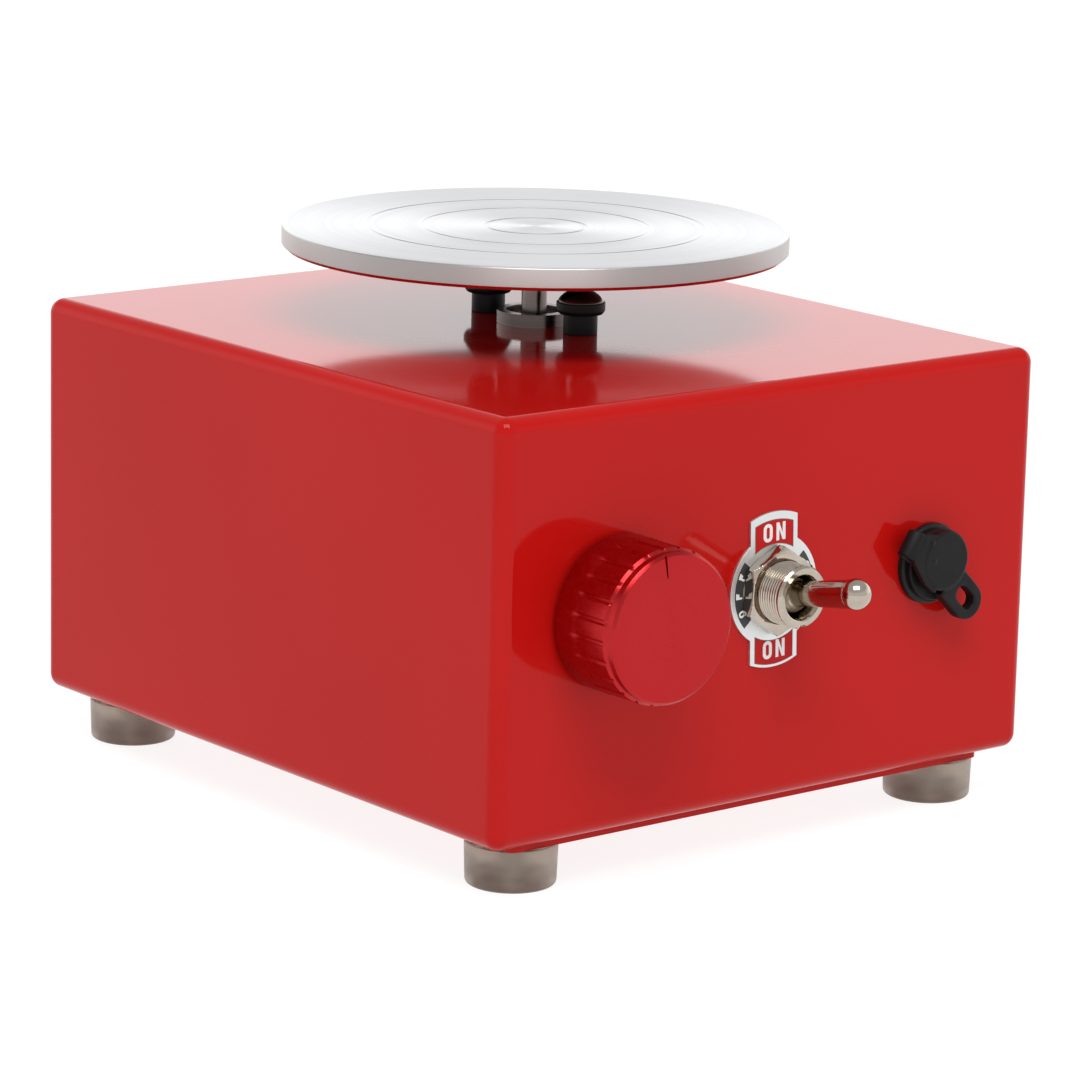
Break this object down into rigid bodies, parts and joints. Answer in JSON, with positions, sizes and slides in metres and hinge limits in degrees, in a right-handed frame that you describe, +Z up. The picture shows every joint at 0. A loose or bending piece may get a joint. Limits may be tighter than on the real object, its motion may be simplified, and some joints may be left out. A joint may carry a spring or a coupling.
{
  "type": "pottery wheel",
  "caption": "Mini electric pottery wheel: a round turntable on a motor shaft above a sheet-metal box with a speed knob, a reversing toggle switch and a capped power socket.",
  "frame": {"origin": "on the floor plane that the feet rest on, under the turntable's spin axis", "axes": "+Z up along the spin axis, -Y out of the control panel, +X to the right seen from the panel"},
  "size_m": [0.133, 0.1739, 0.1098],
  "materials": {
    "red_paint": "gloss",
    "zinc_steel": "satin",
    "motor_steel": "satin",
    "foot_rubber": "satin",
    "magnet": "matte",
    "black_plastic": "matte",
    "carbon": "matte",
    "brass": "satin",
    "copper": "satin",
    "spun_aluminium": "satin",
    "black_steel": "satin",
    "black_rubber": "matte",
    "red_anodised": "satin",
    "phenolic": "matte",
    "nickel": "polished",
    "legend_silver": "satin",
    "bakelite": "satin",
    "green_board": "satin",
    "green_plastic": "satin",
    "blue_sleeve": "gloss",
    "wire_red": "gloss",
    "wire_black": "gloss",
    "wire_yellow": "gloss"
  },
  "bodies": {
    "root": {"body_shell": "red_paint", "bottom_plate": "red_paint", "rivet_nuts": "zinc_steel", "foot_front_left": "foot_rubber", "foot_front_right": "foot_rubber", "foot_rear_left": "foot_rubber", "foot_rear_right": "foot_rubber", "foot_screws": "zinc_steel", "foot_washers": "zinc_steel", "motor_can": "motor_steel", "flux_ring": "motor_steel", "motor_magnets": "magnet", "motor_endbell": "black_plastic", "motor_bearings": "zinc_steel", "motor_brushes": "carbon", "motor_terminals": "brass", "motor_screws": "black_steel", "motor_spacers": "black_plastic", "pot_case": "zinc_steel", "pot_track": "phenolic", "pot_bushing": "zinc_steel", "pot_washer": "zinc_steel", "pot_nut": "zinc_steel", "pot_terminals": "zinc_steel", "switch_case": "bakelite", "switch_bushing": "nickel", "switch_back_nut": "nickel", "switch_front_nut": "nickel", "legend_plate": "legend_silver", "switch_terminals": "zinc_steel", "jack_body": "black_plastic", "jack_nut": "zinc_steel", "jack_pin": "brass", "jack_terminals": "zinc_steel", "cap_strap": "black_rubber", "control_board": "green_board", "terminal_block": "green_plastic", "board_capacitor": "blue_sleeve", "timer_chip": "black_plastic", "mosfet": "black_plastic", "heatsink": "spun_aluminium", "board_standoffs": "brass", "board_screws": "zinc_steel", "power_leads": "wire_red", "motor_leads": "wire_black", "pot_leads": "wire_yellow"},
    "wheel": {"motor_shaft": "motor_steel", "rotor_core": "motor_steel", "rotor_windings": "copper", "commutator": "copper", "turntable_disc": "spun_aluminium", "flange_hub": "black_steel", "hub_screws": "black_steel", "hub_set_screw": "black_steel"},
    "knob": {"speed_knob": "red_anodised", "knob_set_screw": "black_steel", "pot_shaft": "zinc_steel"},
    "lever": {"toggle_lever": "nickel"},
    "rocker": {"switch_rocker": "brass"},
    "cap": {"jack_cap": "black_rubber"}
  },
  "joints": [
    {"name": "wheel_spin", "type": "hinge", "parent": "root", "child": "wheel", "pos_m": [0, 0, 0.09], "axis": [0, 0, 1], "continuous": true},
    {"name": "knob_turn", "type": "hinge", "parent": "root", "child": "knob", "pos_m": [-0.0398, -0.074, 0.0523], "axis": [0, -1, 0], "range_deg": [-150, 150]},
    {"name": "lever_throw", "type": "hinge", "parent": "root", "child": "lever", "pos_m": [-0.001, -0.07875, 0.0513], "axis": [1, 0, 0], "range_deg": [0, 22]},
    {"name": "rocker_tip", "type": "hinge", "parent": "root", "child": "rocker", "pos_m": [-0.001, -0.056, 0.0513], "axis": [1, 0, 0], "range_deg": [-12, 0]},
    {"name": "cap_swing", "type": "hinge", "parent": "root", "child": "cap", "pos_m": [0.02987, -0.07755, 0.05719], "axis": [-0.5446, 0, -0.8387], "range_deg": [0, 110]}
  ],
  "couplings": [
    {"joint": "rocker_tip", "follows": "lever_throw", "ratio": -0.5454}
  ]
}
